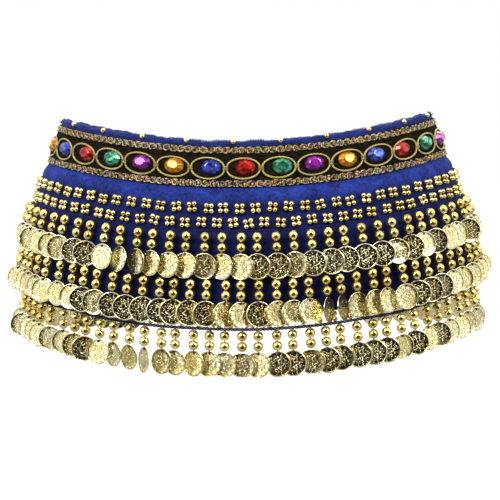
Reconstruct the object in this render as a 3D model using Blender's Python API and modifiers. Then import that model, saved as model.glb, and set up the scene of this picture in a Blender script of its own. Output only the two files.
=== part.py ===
"""Belly dance hip scarf, in the round form that it has on the hips.

A straight velvet panel goes round the hips and is open at the back, where two straps are knotted. A jewelled
braid lies along its top, two rows of coin drops hang on it, and a third row hangs from a crocheted cord that
small bead squares join to the hem. Metres, +Z up, the front faces -Y. The origin is the middle of the ring at
the mean height of its top edge.
"""

import math
import random

import bmesh
import bpy
from mathutils import Vector

MM = 0.001
SEAM = 0.3 * MM  # the gap between pieces that are sewn together

# The hips that the scarf is worn on: an oval ring at each level, wider lower down
TOP_HALF_WIDTH = 160 * MM
FLARE = 0.387  # how fast the half width grows just below the top edge
FLARE_EASE = 1.05  # how that growth dies away, per metre
DEPTH_SHARE = 0.66  # front-to-back size over side-to-side size
TOP_DIP = 10.5 * MM  # the top edge is this much lower at front and back, and higher on the hips
CORD_DIP = 11.5 * MM
TUCK = 2.9 * MM  # the stiff braid pulls the top in by this much
WAVE_DEPTH = 0.9 * MM  # the soft waves of the free hem
ARC_STEP = math.radians(0.5)

# Levels below the top edge
EDGE_TOP = -0.7 * MM
EDGE_HEIGHT = 2.3 * MM
TOP = EDGE_TOP + EDGE_HEIGHT + SEAM  # the cloth's own edge, under the crocheted one
HEM = 134.5 * MM
BRAID_TOP = 3.9 * MM
BRAID_FOOT = 35.5 * MM
BULGE_LEVEL = 43 * MM  # here the velvet is free of the braid's pull
STONE_LEVEL = 20.3 * MM
UPPER_ROW = 67.9 * MM
MIDDLE_ROW = 104.2 * MM
CORD_LEVEL = 143.4 * MM

# The velvet panel
CLOTH = 2 * MM
TOP_LENGTH = 755 * MM  # along the top edge
HEM_LENGTH = 807 * MM  # the same cloth, stretched a little over the wider part of the hips
COLUMNS = 46

# The braid and its stones
BRAID_THICKNESS = 1.2 * MM
STONE_PITCH = 28.1 * MM
STONE_SHIFT = -3.4 * MM  # the middle oval of the braid sits this far to the left of the front centre
STONES_EACH_SIDE = 13
STONE_HALF_LENGTH = 8.2 * MM
STONE_HALF_HEIGHT = 6.2 * MM
STONE_RISE = 4 * MM
STONE_TABLE = 0.58  # the flat top's size over the base's
STONE_SIDES = 8
# How far the stones at the front were sewn from the middles of their ovals, in mm, from the left
STONE_NUDGES = (3.2, 3.4, 1.8, 1.0, 0.8, 2.4, 1.5, 2.8, 0.7, 0.5, -1.5, -3.2, -1.2)

# The coin drops: two round beads and a coin on a thread
CHAIN_HEIGHT = 1.6 * MM
CORD_HEIGHT = 2.2 * MM
BEAD = 8 * MM
COIN = 20.5 * MM
THREAD = 0.8 * MM
BEAD_STAND = 4.6 * MM  # from the panel's face to the middle of a bead
BEAD_FACET = 4.4 * MM  # from a bead's axis to its corners
BEAD_SHOULDER = 0.25  # where a bead's widest part starts and ends, over its size
COIN_SHOULDER = 0.25
COIN_HALF = 9.1 * MM
COIN_RIDGE = 1.2 * MM
COIN_GAP = 1.7 * MM  # between neighbouring coins, seen from above
COIN_REACH_IN = 3.6 * MM  # how far a turned coin's edge may reach towards the cloth
LEAST_LEAN = 1.2 * MM
LOOSE_LEAN = 3.4 * MM  # a coin leans out no further than this unless its turn needs it
MOST_LEAN = 5.4 * MM
WIDE_TURNS = 0.1  # the share of coins that have turned far to the side
SWING = 0.035  # how far a drop hangs to the side, over its length
UNEVEN = 1.1 * MM  # in the spacing of the drops

# One line for each row of drops: name, level, number of drops, seed for how they hang
ROWS = (
    ("drops_upper", UPPER_ROW, 58, 3065),
    ("drops_middle", MIDDLE_ROW, 62, 951),
    ("drops_hem", CORD_LEVEL, 62, 5167),
)

# The bead squares that join the crocheted cord to the hem
SQUARE_HALF = 4.2 * MM
SQUARE_HALF_DEPTH = 1 * MM

# The straps that fasten the scarf at the back
STRAP_TOP = 6 * MM
STRAP_FOOT = 30 * MM
STRAP_END = 12.35 * MM  # from the middle of the knot, just outside it
STRAP_STEPS = 6
KNOT_LEVEL = 18 * MM
KNOT_HALF = Vector((13, 8, 11)) * MM
KNOT_STAND = 7 * MM
TAIL_LENGTH = 122 * MM
TAIL_HALF = 10 * MM
TAIL_SPLAY = 17 * MM
TAIL_STAND = 3 * MM
TAIL_STEPS = 6

# Finishes: colour, roughness, metallic
VELVET = ((0.02, 0.035, 0.36), 0.75, 0.0)
BRAID = ((0.10, 0.07, 0.03), 0.6, 0.0)
GOLD = ((0.83, 0.62, 0.2), 0.25, 1.0)
STONES = {
    "red": ((0.75, 0.01, 0.01), 0.1, 0.0),
    "green": ((0.0, 0.35, 0.16), 0.1, 0.0),
    "purple": ((0.35, 0.01, 0.55), 0.1, 0.0),
    "amber": ((0.9, 0.42, 0.0), 0.1, 0.0),
    "blue": ((0.02, 0.05, 0.7), 0.1, 0.0),
}


def half_width(drop):
    return TOP_HALF_WIDTH + FLARE * drop - FLARE_EASE * drop**2


def turn_at(distance, drop):
    """The angle round the ring, from the front centre, after that distance along it."""
    wide = half_width(drop)
    deep = DEPTH_SHARE * wide
    turn = walked = 0.0
    pace = wide
    while walked < abs(distance):
        middle = turn + ARC_STEP / 2
        pace = math.hypot(wide * math.cos(middle), deep * math.sin(middle))
        walked += pace * ARC_STEP
        turn += ARC_STEP
    return math.copysign(turn - (walked - abs(distance)) / pace, distance)


def half_round(drop):
    """Half the way round the ring at a level."""
    wide = half_width(drop)
    deep = DEPTH_SHARE * wide
    steps = round(math.pi / ARC_STEP)
    turns = ((i + 0.5) * ARC_STEP for i in range(steps))
    return sum(math.hypot(wide * math.cos(t), deep * math.sin(t)) for t in turns) * ARC_STEP


def outwards(turn):
    """The level direction away from the body."""
    return Vector((DEPTH_SHARE * math.sin(turn), -math.cos(turn), 0)).normalized()


def tuck(drop):
    """How far the braid pulls the ring in at a level."""
    free = min(max((drop - BRAID_FOOT) / (BULGE_LEVEL - BRAID_FOOT), 0), 1)
    return TUCK * (1 - free * free * (3 - 2 * free))


def place(turn, drop, out=0.0):
    """A point that far outside the panel's face. The ring dips at front and back, and its hem waves."""
    wide = half_width(drop)
    dip = (TOP_DIP + (CORD_DIP - TOP_DIP) * drop / CORD_LEVEL) * math.cos(2 * turn)
    wave = math.sin(11 * turn + 0.6) + 0.6 * math.sin(19 * turn + 2.1)
    sway = WAVE_DEPTH * max(drop / HEM, 0) ** 1.5 * wave
    ring = Vector((wide * math.sin(turn), -DEPTH_SHARE * wide * math.cos(turn), -drop - dip))
    return ring + outwards(turn) * (out + sway - tuck(drop))


def along_ring(turn, drop):
    """The direction along the ring at a point, with its rise and fall."""
    return (place(turn + 0.01, drop) - place(turn - 0.01, drop)).normalized()


def panel_reach(drop):
    """From the front centre to the panel's end, along the ring."""
    return (TOP_LENGTH + (HEM_LENGTH - TOP_LENGTH) * drop / HEM) / 2


def on_panel(share, drop, out=0.0):
    """A point of the panel: share runs from -1 at its left end to 1 at its right end."""
    return place(turn_at(share * panel_reach(drop), drop), drop, out)


def at_back(distance, drop, out=0.0):
    """A point on the same ring, that far to the right of the back centre."""
    turn = math.copysign(math.pi - turn_at(abs(distance), drop), distance)
    return place(turn, drop, out)


def material(name, colour, roughness, metallic):
    made = bpy.data.materials.new(name)
    made.use_nodes = True
    surface = made.node_tree.nodes["Principled BSDF"]
    surface.inputs["Base Color"].default_value = (*colour, 1)
    surface.inputs["Roughness"].default_value = roughness
    surface.inputs["Metallic"].default_value = metallic
    return made


def add_object(name, bm, finish, collection):
    mesh = bpy.data.meshes.new(name)
    bm.to_mesh(mesh)
    bm.free()
    mesh.materials.append(material(name, *finish))
    obj = bpy.data.objects.new(name, mesh)
    collection.objects.link(obj)
    return obj


def give_thickness(obj, thickness, side):
    """Side 1 grows the sheet outwards, -1 inwards."""
    shell = obj.modifiers.new("thickness", "SOLIDIFY")
    shell.thickness = thickness
    shell.offset = side
    shell.use_even_offset = True


def sheet(columns, rows, point_at):
    """A grid whose points are point_at(x from -1 to 1, row number), row 0 at the top."""
    bm = bmesh.new()
    bmesh.ops.create_grid(bm, x_segments=columns, y_segments=rows, size=1)
    for vert in bm.verts:
        vert.co = point_at(vert.co.x, round((1 - vert.co.y) / 2 * rows))
    return bm


def belt(name, drops, out, thickness, side, finish, collection):
    """A wall that follows the panel from end to end, through the levels in drops."""
    bm = sheet(COLUMNS, len(drops) - 1, lambda share, row: on_panel(share, drops[row], out))
    obj = add_object(name, bm, finish, collection)
    give_thickness(obj, thickness, side)
    return obj


def turn_faces_out(bm):
    bm.normal_update()
    bmesh.ops.recalc_face_normals(bm, faces=bm.faces)


def loft(bm, rings):
    """Closed skin through rings of points, capped at both ends. A last ring of one point is a tip."""
    loops = [[bm.verts.new(point) for point in ring] for ring in rings]
    sides = len(loops[0])
    for upper, lower in zip(loops, loops[1:]):
        for i in range(sides):
            j = (i + 1) % sides
            if len(lower) == 1:
                bm.faces.new((upper[i], upper[j], lower[0]))
            else:
                bm.faces.new((upper[i], upper[j], lower[j], lower[i]))
    bm.faces.new(list(reversed(loops[0])))
    if len(loops[-1]) > 1:
        bm.faces.new(loops[-1])


def near(a, b):
    """The shortest distance between two coins seen from above, each a line between two points."""
    steps = [i / 12 for i in range(13)]
    return min((a[0].lerp(a[1], s) - b[0].lerp(b[1], t)).length for s in steps for t in steps)


def coin_line(along, out, yaw):
    """A coin seen from above."""
    half = Vector((math.cos(yaw), math.sin(yaw))) * COIN / 2
    middle = Vector((along, out))
    return middle - half, middle + half


def coin_turns(spots, chance):
    """How each drop hangs: swing to the side and lean outwards, over its length, and the coin's yaw.

    Each coin is tried at random until it is clear of the two before it and of the cloth.
    """
    length = 2 * BEAD + COIN / 2
    hung, lines = [], []
    for spot in spots:
        for attempt in range(400):
            widest = 60 if chance.random() < WIDE_TURNS else 28
            yaw = math.radians(chance.uniform(-widest, widest))
            swing = chance.uniform(-SWING, SWING)
            least = max(LEAST_LEAN, COIN / 2 * abs(math.sin(yaw)) - COIN_REACH_IN)
            lean = chance.uniform(least, max(least, LOOSE_LEAN))
            line = coin_line(spot + swing * length, lean, yaw)
            if lean <= MOST_LEAN and all(near(line, other) > COIN_GAP for other in lines[-2:]):
                break
        lines.append(line)
        hung.append((swing, lean / length, yaw))
    return hung


def drop_spots(level, count, chance):
    """Distances of a row's drops from the front centre, a little uneven as sewn by hand."""
    reach = panel_reach(level) - COIN / 2
    pitch = 2 * reach / (count - 1)
    return [-reach + i * pitch + chance.uniform(-UNEVEN, UNEVEN) for i in range(count)]


def drop_rings(turn, level, root_out, bead_out, swing, lean, yaw):
    """The three-sided sections of one drop, from its root down to the coin's tip."""
    out = outwards(turn)
    along = Vector((0, 0, 1)).cross(out)

    def centre(below):
        hang = max(below, 0)
        stand = bead_out + lean * hang if hang else root_out
        return place(turn, level + below, stand) + along * (swing * hang)

    def bead_ring(below, corner):
        angles = (math.radians(90 + 120 * i) for i in range(3))
        return [centre(below) + (along * math.cos(a) + out * math.sin(a)) * corner for a in angles]

    def coin_ring(below):
        flat = along * math.cos(yaw) + out * math.sin(yaw)
        face = out * math.cos(yaw) - along * math.sin(yaw)
        middle = centre(below)
        return [middle + face * COIN_RIDGE, middle - flat * COIN_HALF, middle + flat * COIN_HALF]

    rings = [bead_ring(-0.5 * CORD_HEIGHT, THREAD)]
    for number in range(2):
        top = number * BEAD
        rings.append(bead_ring(top + BEAD_SHOULDER * BEAD, BEAD_FACET))
        rings.append(bead_ring(top + (1 - BEAD_SHOULDER) * BEAD, BEAD_FACET))
        rings.append(bead_ring(top + BEAD, THREAD * 1.3))
    coin_top = 2 * BEAD
    rings.append(coin_ring(coin_top + COIN_SHOULDER * COIN))
    rings.append(coin_ring(coin_top + (1 - COIN_SHOULDER) * COIN))
    rings.append([centre(coin_top + COIN)])
    return rings


def square_rings(turn, out):
    """One square of small beads between the hem and the crocheted cord."""
    away = outwards(turn)
    along = along_ring(turn, HEM)
    rings = []
    for level in (HEM + 2 * SEAM, CORD_LEVEL + CORD_HEIGHT / 3):
        middle = place(turn, level, out)
        corners = ((-1, 1), (-1, -1), (1, -1), (1, 1))
        rings.append(
            [middle + along * x * SQUARE_HALF + away * y * SQUARE_HALF_DEPTH for x, y in corners]
        )
    return rings


def drop_row(name, level, count, seed, finish, parts, helpers):
    """A thin chain along the panel with its drops fused to it."""
    chance = random.Random(seed)
    on_cord = level == CORD_LEVEL
    height = CORD_HEIGHT if on_cord else CHAIN_HEIGHT
    inner = -(CLOTH + height) / 2 if on_cord else SEAM
    middle = inner + height / 2
    bead_out = middle if on_cord else BEAD_STAND
    chain = belt(name, (level, level + height), inner, height, 1, finish, parts)
    spots = drop_spots(level, count, chance)
    hung = coin_turns(spots, chance)
    bm = bmesh.new()
    foot = level + height
    for spot, (swing, lean, yaw) in zip(spots, hung):
        loft(bm, drop_rings(turn_at(spot, level), foot, middle, bead_out, swing, lean, yaw))
    if on_cord:
        for left, right in zip(spots, spots[1:]):
            loft(bm, square_rings(turn_at((left + right) / 2, level), -CLOTH / 2))
    turn_faces_out(bm)
    strands = add_object(name + "_strands", bm, finish, helpers)
    strands.hide_render = True
    strands.display_type = "WIRE"
    join = chain.modifiers.new("drops", "BOOLEAN")
    join.operation = "UNION"
    join.solver = "EXACT"
    join.object = strands


def stone(name, distance, finish, collection):
    """A faceted oval stone sewn to the braid: a flat base, sloping facets and a flat table."""
    turn = turn_at(distance, STONE_LEVEL)
    out = BRAID_THICKNESS + 2 * SEAM
    middle = place(turn, STONE_LEVEL, out)
    nudge = 1 * MM
    along = along_ring(turn, STONE_LEVEL)
    down = (place(turn, STONE_LEVEL + nudge, out) - middle).normalized()
    away = down.cross(along).normalized()
    if away.dot(outwards(turn)) < 0:
        away.negate()
    bm = bmesh.new()
    bmesh.ops.create_cone(
        bm, cap_ends=True, segments=STONE_SIDES, radius1=1, radius2=STONE_TABLE, depth=1
    )
    for vert in bm.verts:
        x, y, z = vert.co
        side = along * (x * STONE_HALF_LENGTH) - down * (y * STONE_HALF_HEIGHT)
        vert.co = middle + side + away * ((z + 0.5) * STONE_RISE)
    turn_faces_out(bm)
    return add_object(name, bm, finish, collection)


def strap(name, side, finish, collection):
    """A velvet strap from the panel's end to the knot, gathered narrower on its way."""

    def point_at(x, row):
        share = (x + 1) / 2
        edge = STRAP_TOP if row == 0 else STRAP_FOOT
        gap = half_round(edge) - panel_reach(edge) - 2 * SEAM
        distance = gap + (STRAP_END - gap) * share
        level = edge + (KNOT_LEVEL - edge) * 0.45 * share
        return at_back(side * distance, level, KNOT_STAND * 0.5 * share**2)

    bm = sheet(STRAP_STEPS, 1, point_at)
    if side > 0:
        bmesh.ops.reverse_faces(bm, faces=bm.faces)
    obj = add_object(name, bm, finish, collection)
    give_thickness(obj, CLOTH, -1)
    return obj


def tail(name, side, finish, collection):
    """The free end of a strap, hanging from the knot."""

    def point_at(x, row):
        share = row / TAIL_STEPS
        level = KNOT_LEVEL + KNOT_HALF.z + 2 * SEAM + TAIL_LENGTH * share
        centre = TAIL_HALF + SEAM + TAIL_SPLAY * share
        ripple = 0.12 * math.sin(3.0 * math.pi * share + side)
        return at_back(side * (centre - x * TAIL_HALF), level, TAIL_STAND * (1 + ripple * (1 + x)))

    bm = sheet(2, TAIL_STEPS, point_at)
    if side < 0:
        bmesh.ops.reverse_faces(bm, faces=bm.faces)
    obj = add_object(name, bm, finish, collection)
    give_thickness(obj, CLOTH, 1)
    return obj


def knot(finish, collection):
    bm = bmesh.new()
    bmesh.ops.create_uvsphere(bm, u_segments=10, v_segments=6, radius=1)
    middle = place(math.pi, KNOT_LEVEL, KNOT_STAND)
    for vert in bm.verts:
        vert.co = middle + vert.co * KNOT_HALF
    return add_object("knot", bm, finish, collection)


def make_scarf():
    for obj in list(bpy.data.objects):
        bpy.data.objects.remove(obj, do_unlink=True)
    parts = bpy.data.collections.new("hip_scarf")
    helpers = bpy.data.collections.new("helpers")
    for collection in (parts, helpers):
        bpy.context.scene.collection.children.link(collection)

    levels = (TOP, BRAID_TOP, STONE_LEVEL, BRAID_FOOT, BULGE_LEVEL, UPPER_ROW, MIDDLE_ROW, HEM)
    belt("velvet_panel", levels, 0.0, CLOTH, -1, VELVET, parts)
    belt("jewel_braid", levels[1:4], SEAM, BRAID_THICKNESS, 1, BRAID, parts)
    edge = (EDGE_TOP, EDGE_TOP + EDGE_HEIGHT)
    belt("crochet_edge", edge, -(CLOTH + EDGE_HEIGHT) / 2, EDGE_HEIGHT, 1, VELVET, parts)

    colours = list(STONES)
    for number in range(-STONES_EACH_SIDE, STONES_EACH_SIDE + 1):
        colour = colours[number % len(colours)]
        middle = number + len(STONE_NUDGES) // 2
        nudge = STONE_NUDGES[middle] if 0 <= middle < len(STONE_NUDGES) else 0
        distance = STONE_SHIFT + number * STONE_PITCH + nudge * MM
        name = f"stone_{number + STONES_EACH_SIDE + 1:02d}_{colour}"
        stone(name, distance, STONES[colour], parts)

    for name, level, count, seed in ROWS:
        drop_row(name, level, count, seed, GOLD, parts, helpers)

    for side, word in ((-1, "left"), (1, "right")):
        strap(f"strap_{word}", side, VELVET, parts)
        tail(f"strap_tail_{word}", side, VELVET, parts)
    knot(VELVET, parts)


make_scarf()
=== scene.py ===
# %% [markdown]
# # Belly dance hip scarf
# The scarf is a straight strip of blue velvet that goes round the hips. It carries a jewelled braid, rows
# of small bead squares and three rows of coin drops. It keeps the round form that it has when it is worn.
# Each step below makes one of the maker's pieces.

# %% Load the frame
import math
import random

import bmesh
import bpy
from mathutils import Matrix, Vector


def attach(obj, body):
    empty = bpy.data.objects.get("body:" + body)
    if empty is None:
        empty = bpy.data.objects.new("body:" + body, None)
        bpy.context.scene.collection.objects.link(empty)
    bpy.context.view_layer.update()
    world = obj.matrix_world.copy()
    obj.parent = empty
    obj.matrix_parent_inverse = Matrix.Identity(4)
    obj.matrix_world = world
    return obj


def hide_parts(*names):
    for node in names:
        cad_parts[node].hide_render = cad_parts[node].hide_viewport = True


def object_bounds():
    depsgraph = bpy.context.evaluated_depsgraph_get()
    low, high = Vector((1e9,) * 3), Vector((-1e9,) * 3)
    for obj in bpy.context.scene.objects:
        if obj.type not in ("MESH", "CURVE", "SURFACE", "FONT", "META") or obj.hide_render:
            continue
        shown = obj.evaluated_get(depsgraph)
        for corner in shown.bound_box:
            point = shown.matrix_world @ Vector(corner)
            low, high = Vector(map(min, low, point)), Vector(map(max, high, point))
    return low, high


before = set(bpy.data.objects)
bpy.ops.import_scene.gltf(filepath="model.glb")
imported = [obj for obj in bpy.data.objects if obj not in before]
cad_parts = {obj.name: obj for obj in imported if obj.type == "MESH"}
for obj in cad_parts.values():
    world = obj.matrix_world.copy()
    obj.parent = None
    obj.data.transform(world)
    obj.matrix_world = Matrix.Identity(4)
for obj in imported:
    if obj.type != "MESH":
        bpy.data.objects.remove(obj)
CAD_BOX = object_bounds()
MM = 0.001
scene = bpy.context.scene


def add_object(name, data):
    made = bpy.data.objects.new(name, data)
    scene.collection.objects.link(made)
    return made


print(len(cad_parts), "solids in the frame")

# %% [markdown]
# ## The camera
# The photo was taken from about 1.2 m with a long lens, almost level, and tipped a little to one side. A
# long lens keeps the near middle and the far sides of the scarf close to the same size.

# %% Camera
CAMERA_PLACE = (0.0006, -1.186, -0.0112)
CAMERA_PITCH = 0.0783
CAMERA_ROLL = 0.0191
LENS_IN_PIXELS = 1376.4
PHOTO_WIDTH = 500

camera_data = bpy.data.cameras.new("camera")
camera_data.sensor_width = 36
camera_data.lens = LENS_IN_PIXELS * camera_data.sensor_width / PHOTO_WIDTH
camera_data.clip_start = 0.05
camera = add_object("camera", camera_data)
camera.matrix_world = (
    Matrix.Translation(CAMERA_PLACE)
    @ Matrix.Rotation(math.pi / 2 - CAMERA_PITCH, 4, "X")
    @ Matrix.Rotation(-CAMERA_ROLL, 4, "Z")
)
scene.camera = camera
print("lens", round(camera_data.lens, 1), "mm")

# %% [markdown]
# ## The room
# Gold shows what is around it. Coins that face the camera mirror the dark place behind it, and turned ones
# mirror the pale room, so dark and bright coins hang side by side in the photo. The sky here is pale, with
# one soft dark patch behind the camera, and dimmer from below. The camera itself sees plain white. The
# helpers in the next cell serve every material.

# %% Node helpers


def plain_material(name):
    made = bpy.data.materials.new(name)
    made.use_nodes = True
    tree = made.node_tree
    return made, tree, tree.nodes["Principled BSDF"]


def fill(socket, value):
    """Gives a socket a link or a value. A colour of three numbers gets its alpha here."""
    if isinstance(value, bpy.types.NodeSocket):
        socket.id_data.links.new(value, socket)
    else:
        socket.default_value = (*value, 1) if socket.type == "RGBA" else value


def fill_all(node, **inputs):
    """Fills inputs by name, with _ for a space, or by _number."""
    for key, value in inputs.items():
        fill(node.inputs[int(key[1:])] if key[1:].isdigit() else node.inputs[key.replace("_", " ")], value)


def add_node(tree, kind, settings=None, **inputs):
    made = tree.nodes.new(kind)
    for key, value in (settings or {}).items():
        setattr(made, key, value)
    fill_all(made, **inputs)
    return made


def coordinate(tree, kind="Object"):
    return add_node(tree, "ShaderNodeTexCoord").outputs[kind]


def maths(tree, operation, first, second=0.0):
    return add_node(tree, "ShaderNodeMath", {"operation": operation}, _0=first, _1=second).outputs[0]


def plus(tree, first, second):
    return maths(tree, "ADD", first, second)


def times(tree, first, second):
    return maths(tree, "MULTIPLY", first, second)


def axes_of(tree, vector):
    return add_node(tree, "ShaderNodeSeparateXYZ", Vector=vector).outputs


def ramp(tree, factor, stops):
    """A colour ramp through (position, grey or colour) stops."""
    made = add_node(tree, "ShaderNodeValToRGB", Fac=factor)
    band = made.color_ramp
    while len(band.elements) < len(stops):
        band.elements.new(0.5)
    for element, (position, colour) in zip(band.elements, stops):
        element.position = position
        shade = (colour,) * 3 if isinstance(colour, float) else colour
        element.color = (*shade, 1)
    return made.outputs["Color"]


def mix_colours(tree, mask, first, second, blend="MIX"):
    settings = {"data_type": "RGBA", "blend_type": blend}
    return add_node(tree, "ShaderNodeMix", settings, _0=mask, _6=first, _7=second).outputs[2]


# %% Sky
PATCH_ASIDE = 0.07
PATCH_RISE = math.radians(-4)
PATCH_STOPS = [
    (0.0, (1.0, 1.0, 1.0)),
    (0.58, (0.96, 0.96, 0.94)),
    (0.68, (0.62, 0.58, 0.50)),
    (0.74, (0.18, 0.14, 0.08)),
    (0.80, (0.05, 0.037, 0.02)),
    (0.87, (0.01, 0.007, 0.003)),
]
HEIGHT_STOPS = [(0.2, 0.2), (0.38, 0.5), (0.5, 0.96), (1.0, 1.0)]
SKY_STRENGTH = 1.3
SEEN_BY_CAMERA = (0.77, 0.77, 0.77)

world = bpy.data.worlds.new("studio")
world.use_nodes = True
sky = world.node_tree
towards = coordinate(sky, "Generated")
aim = (PATCH_ASIDE, -math.cos(PATCH_RISE), math.sin(PATCH_RISE))
behind_camera = add_node(sky, "ShaderNodeVectorMath", {"operation": "DOT_PRODUCT"}, _0=towards, _1=aim)
patch = ramp(sky, behind_camera.outputs["Value"], PATCH_STOPS)
height = plus(sky, times(sky, axes_of(sky, towards)["Z"], 0.5), 0.5)
room = mix_colours(sky, 1.0, patch, ramp(sky, height, HEIGHT_STOPS), "MULTIPLY")
direct = add_node(sky, "ShaderNodeLightPath").outputs["Is Camera Ray"]
seen = mix_colours(sky, direct, room, SEEN_BY_CAMERA)
fill_all(sky.nodes["Background"], Color=seen, Strength=SKY_STRENGTH)
scene.world = world
scene.view_settings.view_transform = "Standard"
print("sky with", len(PATCH_STOPS), "steps from pale to dark")

# %% Floor
FLOOR_DROP = 0.75
FLOOR_FRONT = 0.9
FLOOR_HALF = 12

bm = bmesh.new()
bmesh.ops.create_grid(bm, x_segments=2, y_segments=2, size=FLOOR_HALF)
bmesh.ops.translate(bm, verts=bm.verts, vec=(0, FLOOR_HALF - FLOOR_FRONT, CAD_BOX[0][2] - FLOOR_DROP))
floor_mesh = bpy.data.meshes.new("floor")
bm.to_mesh(floor_mesh)
bm.free()
floor_material, tree, surface = plain_material("pale floor")
seen = add_node(tree, "ShaderNodeLightPath").outputs["Is Camera Ray"]
fill_all(surface, Base_Color=ramp(tree, seen, [(0.0, 0.3), (1.0, 0.95)]), Roughness=0.9)
fill_all(surface, Emission_Color=(1, 1, 1), Emission_Strength=0.08)
floor_mesh.materials.append(floor_material)
floor = add_object("floor", floor_mesh)
print("the floor is", FLOOR_DROP, "m below the lowest coin")

# %% Lamps
SCARF_MIDDLE = Vector((0, 0, -0.08))


def add_lamp(name, place_at, size, power):
    data = bpy.data.lights.new(name, "AREA")
    data.size = size
    data.energy = power
    lamp = add_object(name, data)
    lamp.location = place_at
    lamp.rotation_euler = (SCARF_MIDDLE - Vector(place_at)).to_track_quat("-Z", "Y").to_euler()


add_lamp("high left lamp", (-0.9, -1.3, 0.9), 0.7, 24)
add_lamp("high right lamp", (1.1, -1.0, 0.8), 0.6, 15)
add_lamp("back lamp", (0.3, 1.4, 1.0), 0.8, 10)
print("three soft lamps")

# %% [markdown]
# ## The ring round the hips
# Every piece lies on one surface, the same as in the solids: an oval at each level, wider lower down,
# that dips at front and back. A point is named by its turn from the front centre, its drop below the top
# edge, and how far out it stands from the velvet.

# %% The surface
TOP_HALF_WIDTH = 160 * MM
FLARE = 0.387
FLARE_EASE = 1.05
DEPTH_SHARE = 0.66
TOP_DIP = 10.5 * MM
CORD_DIP = 11.5 * MM
TUCK = 2.9 * MM
BRAID_FOOT = 35.5 * MM
BULGE_LEVEL = 43 * MM
WAVE_DEPTH = 0.9 * MM
ARC_STEP = math.radians(0.5)
CLOTH = 2 * MM
TOP_LENGTH = 755 * MM
HEM_LENGTH = 807 * MM
HEM = 134.5 * MM
CORD_LEVEL = 143.4 * MM
UP = Vector((0, 0, 1))


def half_width(drop):
    return TOP_HALF_WIDTH + FLARE * drop - FLARE_EASE * drop**2


TABLES = {}


def turn_table(drop):
    """Distances along the ring at every step of turn from the front centre, kept for each level."""
    key = round(drop, 5)
    if key not in TABLES:
        wide = half_width(drop)
        deep = DEPTH_SHARE * wide
        walked = [0.0]
        for step in range(round(math.pi / ARC_STEP)):
            middle = (step + 0.5) * ARC_STEP
            pace = math.hypot(wide * math.cos(middle), deep * math.sin(middle))
            walked.append(walked[-1] + pace * ARC_STEP)
        TABLES[key] = walked
    return TABLES[key]


def half_round(drop):
    return turn_table(drop)[-1]


def turn_at(distance, drop):
    """The turn after that distance along the ring."""
    table = turn_table(drop)
    low, high = 0, len(table) - 1
    while high - low > 1:
        middle = (low + high) // 2
        if table[middle] <= abs(distance):
            low = middle
        else:
            high = middle
    share = (abs(distance) - table[low]) / (table[high] - table[low])
    return math.copysign((low + share) * ARC_STEP, distance)


def outwards(turn):
    return Vector((DEPTH_SHARE * math.sin(turn), -math.cos(turn), 0)).normalized()


def tuck(drop):
    """How far the stiff braid pulls the ring in at a level."""
    free = min(max((drop - BRAID_FOOT) / (BULGE_LEVEL - BRAID_FOOT), 0), 1)
    return TUCK * (1 - free * free * (3 - 2 * free))


def place(turn, drop, out=0.0):
    wide = half_width(drop)
    dip = (TOP_DIP + (CORD_DIP - TOP_DIP) * drop / CORD_LEVEL) * math.cos(2 * turn)
    wave = math.sin(11 * turn + 0.6) + 0.6 * math.sin(19 * turn + 2.1)
    sway = WAVE_DEPTH * max(drop / HEM, 0) ** 1.5 * wave
    ring = Vector((wide * math.sin(turn), -DEPTH_SHARE * wide * math.cos(turn), -drop - dip))
    return ring + outwards(turn) * (out + sway - tuck(drop))


def panel_reach(drop):
    return (TOP_LENGTH + (HEM_LENGTH - TOP_LENGTH) * drop / HEM) / 2


def along_ring(drop, spacing):
    """Distances from one end of the panel to the other, evenly spaced."""
    reach = panel_reach(drop)
    return [-reach + step * spacing for step in range(int(2 * reach / spacing))]


def cycles(distance, every):
    """An angle that goes round once in every such distance."""
    return distance / every * 2 * math.pi


def at(distance, drop, out=0.0):
    """A point that far along the ring from the front centre."""
    return place(turn_at(distance, drop), drop, out)


def at_back(distance, drop, out=0.0):
    """A point that far to the right of the back centre."""
    turn = math.copysign(math.pi - turn_at(abs(distance), drop), distance)
    return place(turn, drop, out)


def pose_at(distance, drop, out, spin=0.0):
    """A matrix that sets a shape on the cloth: x along the ring, y up the cloth, z outwards."""
    turn = turn_at(distance, drop)
    middle = place(turn, drop, out)
    along = (place(turn + 0.01, drop) - place(turn - 0.01, drop)).normalized()
    rise = (place(turn, drop - MM) - place(turn, drop + MM)).normalized()
    away = along.cross(rise).normalized()
    rise = away.cross(along)
    turned = Matrix((along, rise, away)).transposed().to_4x4()
    return Matrix.Translation(middle) @ turned @ Matrix.Rotation(spin, 4, "Z")


print("ring", round(2 * half_round(0.0), 3), "m round at the top edge")

# %% [markdown]
# ## Tools of the workshop
# Every piece uses these helpers. One turns a bmesh into a piece that rides with the frame, one makes
# thread from a list of paths, and one sets many copies of a small shape, its template, into one mesh.

# %% Piece, thread and copies


def make_piece(name, source, materials, nodes=(), smooth=True):
    """A piece from a bmesh or a mesh. It rides on the frame and stands for the named solids."""
    if isinstance(source, bmesh.types.BMesh):
        mesh = bpy.data.meshes.new(name)
        source.to_mesh(mesh)
        source.free()
    else:
        mesh = source
        mesh.name = name
    mesh.materials.clear()
    for made in materials:
        mesh.materials.append(made)
    if smooth:
        mesh.shade_smooth()
    piece = add_object(name, mesh)
    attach(piece, "root")
    if nodes:
        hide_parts(*nodes)
    print(name, len(mesh.polygons), "faces")
    return piece


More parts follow.
